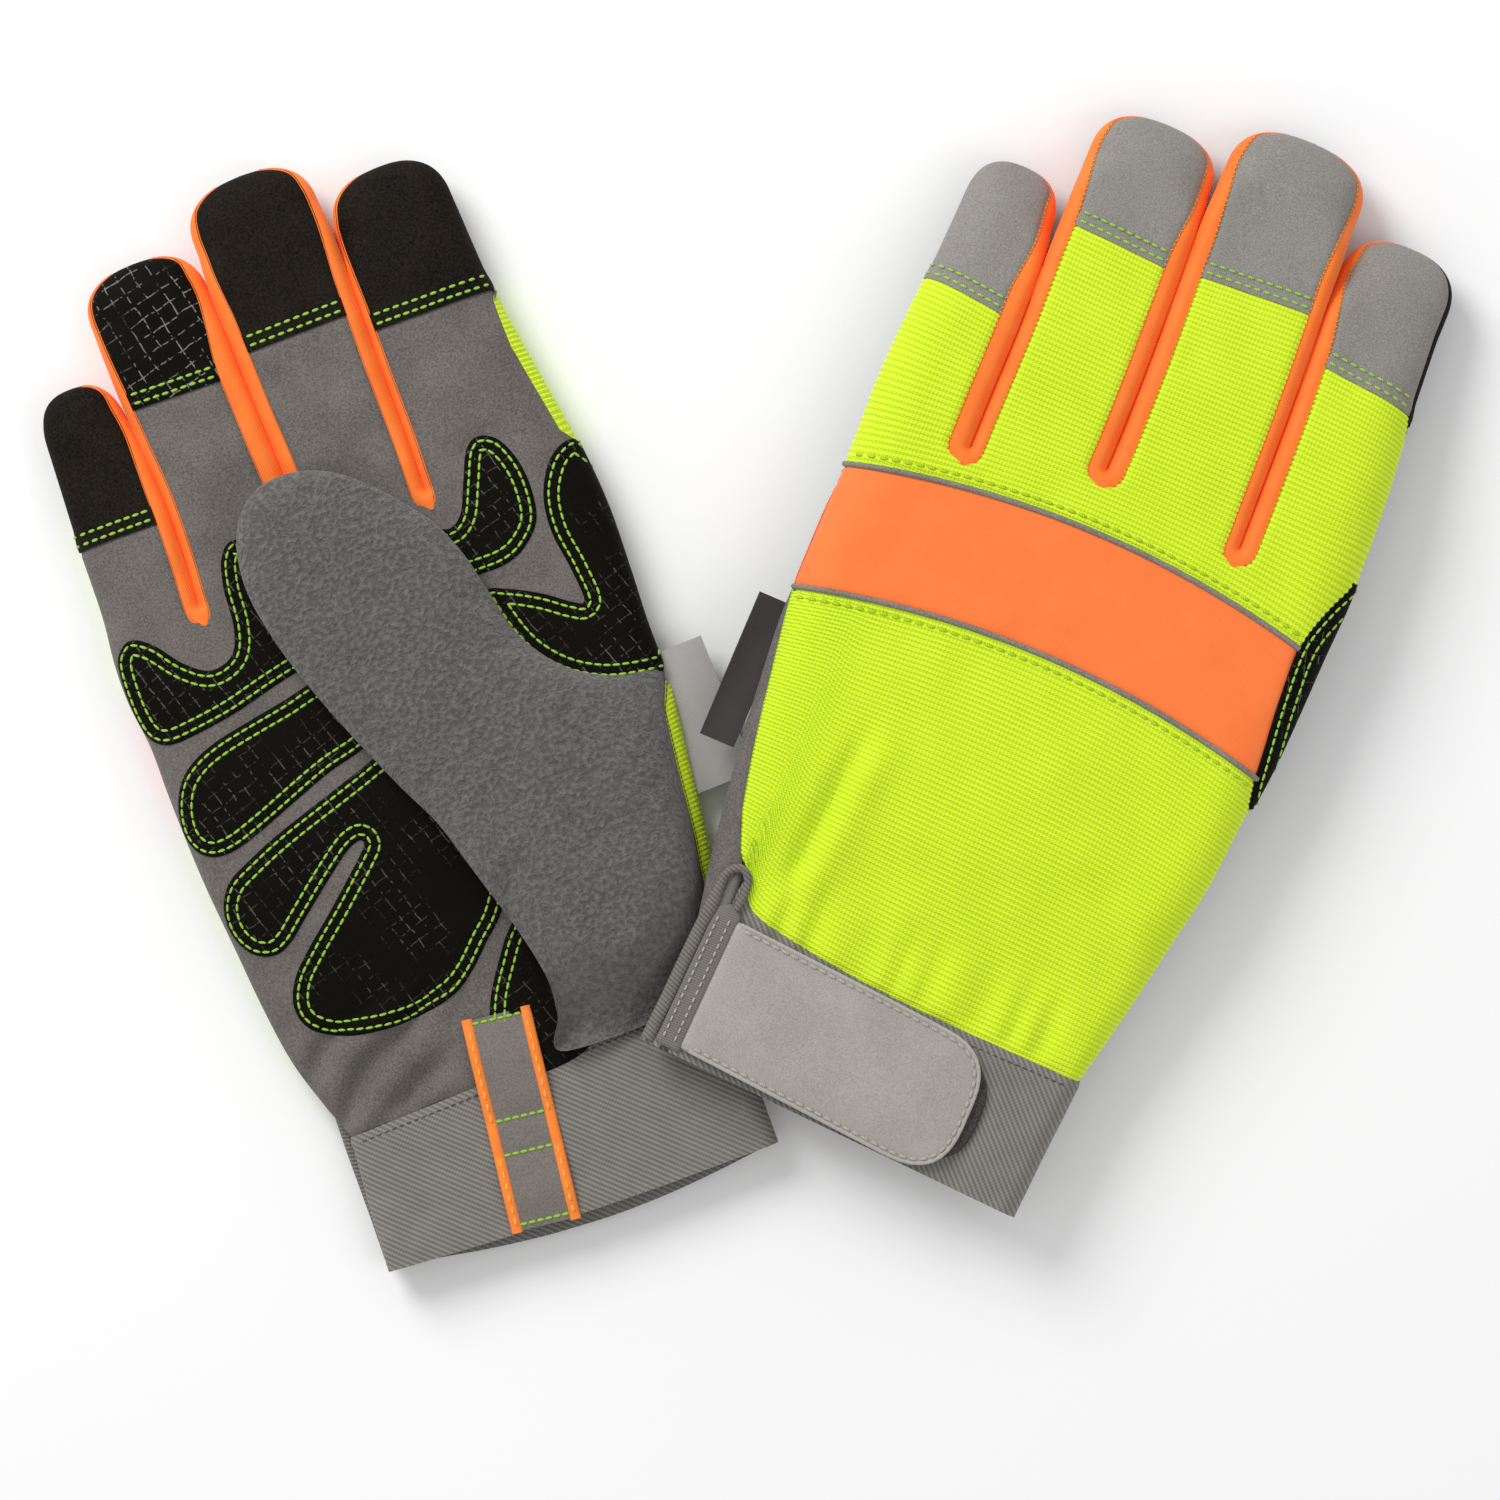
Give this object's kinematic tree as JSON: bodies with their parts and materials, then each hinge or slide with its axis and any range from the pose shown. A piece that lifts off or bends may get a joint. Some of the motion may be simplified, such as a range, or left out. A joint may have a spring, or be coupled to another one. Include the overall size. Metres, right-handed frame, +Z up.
{
  "type": "work gloves",
  "caption": "Pair of insulated high-visibility work gloves with padded palms, orange finger sides, a knuckle band, elastic cuffs and wrist straps, laid flat.",
  "frame": {"origin": "middle of the set's footprint, on the surface it lies on", "axes": "+X across the two gloves, from the right-hand glove to the left-hand one; +Y towards the fingertips; +Z up"},
  "size_m": [0.3392, 0.275, 0.0241],
  "materials": {
    "ribbed_lime": "fluorescent ribbed knit",
    "orange_stretch": "fluorescent smooth stretch knit",
    "grey_suede": "brushed synthetic suede",
    "black_grip": "matt synthetic leather",
    "grey_cap": "fine-grained reflective fabric",
    "fleece": "brushed fleece",
    "elastic": "diagonal twill elastic",
    "reflective_strap": "silver-grey reflective tape",
    "binding_tape": "woven binding tape",
    "label_cloth": "plain woven label"
  },
  "bodies": {
    "right_hand": {"right_back_lower_panel": "ribbed_lime", "right_back_upper_panel": "ribbed_lime", "right_cuff_band": "elastic", "right_finger_gussets": "orange_stretch", "right_knuckle_band": "orange_stretch", "right_lining": "fleece", "right_palm_pads": "black_grip", "right_palm_panel": "grey_suede", "right_piping_and_binding": "binding_tape", "right_pull_tab": "elastic", "right_side_label": "label_cloth", "right_thumb_heel": "fleece", "right_wrist_strap": "reflective_strap"},
    "right_thumb": {"right_thumb": "fleece"},
    "left_hand": {"left_back_lower_panel": "ribbed_lime", "left_back_upper_panel": "ribbed_lime", "left_cuff_band": "elastic", "left_finger_gussets": "orange_stretch", "left_knuckle_band": "orange_stretch", "left_lining": "fleece", "left_palm_pads": "black_grip", "left_palm_panel": "grey_suede", "left_piping_and_binding": "binding_tape", "left_pull_tab": "elastic", "left_side_label": "label_cloth", "left_thumb_heel": "fleece"},
    "left_thumb": {"left_thumb": "fleece"},
    "left_strap": {"left_wrist_strap": "reflective_strap"},
    "right_little_finger": {"right_little_back": "ribbed_lime", "right_little_sides": "orange_stretch", "right_little_tip": "grey_cap"},
    "right_ring_finger": {"right_ring_back": "ribbed_lime", "right_ring_palm": "grey_suede", "right_ring_sides": "orange_stretch", "right_ring_tip": "grey_cap"},
    "right_middle_finger": {"right_middle_back": "ribbed_lime", "right_middle_palm": "grey_suede", "right_middle_sides": "orange_stretch", "right_middle_tip": "grey_cap"},
    "right_index_finger": {"right_index_back": "ribbed_lime", "right_index_palm": "grey_suede", "right_index_sides": "orange_stretch", "right_index_tip": "grey_cap"},
    "left_little_finger": {"left_little_back": "ribbed_lime", "left_little_sides": "orange_stretch", "left_little_tip": "grey_cap"},
    "left_ring_finger": {"left_ring_back": "ribbed_lime", "left_ring_palm": "grey_suede", "left_ring_sides": "orange_stretch", "left_ring_tip": "grey_cap"},
    "left_middle_finger": {"left_middle_back": "ribbed_lime", "left_middle_palm": "grey_suede", "left_middle_sides": "orange_stretch", "left_middle_tip": "grey_cap"},
    "left_index_finger": {"left_index_back": "ribbed_lime", "left_index_palm": "grey_suede", "left_index_sides": "orange_stretch", "left_index_tip": "grey_cap"}
  },
  "joints": [
    {"name": "left_glove_lift", "type": "slide", "parent": "right_hand", "child": "left_hand", "axis": [0, 0, 1], "range_m": [0, 0.06]},
    {"name": "right_little_curl", "type": "hinge", "parent": "right_hand", "child": "right_little_finger", "pos_m": [-0.15253, 0.04488, 0.015], "axis": [0.9272, 0.3746, 0], "range_deg": [0, 60]},
    {"name": "right_ring_curl", "type": "hinge", "parent": "right_hand", "child": "right_ring_finger", "pos_m": [-0.12796, 0.05481, 0.015], "axis": [0.9272, 0.3746, 0], "range_deg": [0, 60]},
    {"name": "right_middle_curl", "type": "hinge", "parent": "right_hand", "child": "right_middle_finger", "pos_m": [-0.09945, 0.06632, 0.015], "axis": [0.9272, 0.3746, 0], "range_deg": [0, 60]},
    {"name": "right_index_curl", "type": "hinge", "parent": "right_hand", "child": "right_index_finger", "pos_m": [-0.06904, 0.07861, 0.015], "axis": [0.9272, 0.3746, 0], "range_deg": [0, 60]},
    {"name": "right_thumb_swing", "type": "hinge", "parent": "right_hand", "child": "right_thumb", "pos_m": [-0.04673, -0.02238, 0.0201], "axis": [0, 0, -1], "range_deg": [0, 30]},
    {"name": "left_little_lift", "type": "hinge", "parent": "left_hand", "child": "left_little_finger", "pos_m": [0.05381, 0.09415, 0.0241], "axis": [0.9205, -0.3907, 0], "range_deg": [0, 35]},
    {"name": "left_ring_lift", "type": "hinge", "parent": "left_hand", "child": "left_ring_finger", "pos_m": [0.08055, 0.0828, 0.0241], "axis": [0.9205, -0.3907, 0], "range_deg": [0, 35]},
    {"name": "left_middle_lift", "type": "hinge", "parent": "left_hand", "child": "left_middle_finger", "pos_m": [0.1118, 0.06953, 0.0241], "axis": [0.9205, -0.3907, 0], "range_deg": [0, 35]},
    {"name": "left_index_lift", "type": "hinge", "parent": "left_hand", "child": "left_index_finger", "pos_m": [0.14177, 0.05681, 0.0241], "axis": [0.9205, -0.3907, 0], "range_deg": [0, 35]},
    {"name": "left_thumb_swing", "type": "hinge", "parent": "left_hand", "child": "left_thumb", "pos_m": [0.0835, -0.02926, 0.004], "axis": [0, 0, -1], "range_deg": [0, 30]},
    {"name": "left_strap_open", "type": "hinge", "parent": "left_hand", "child": "left_strap", "pos_m": [-0.00895, -0.0715, 0.023], "axis": [-0.3907, -0.9205, 0], "range_deg": [0, 140]}
  ]
}
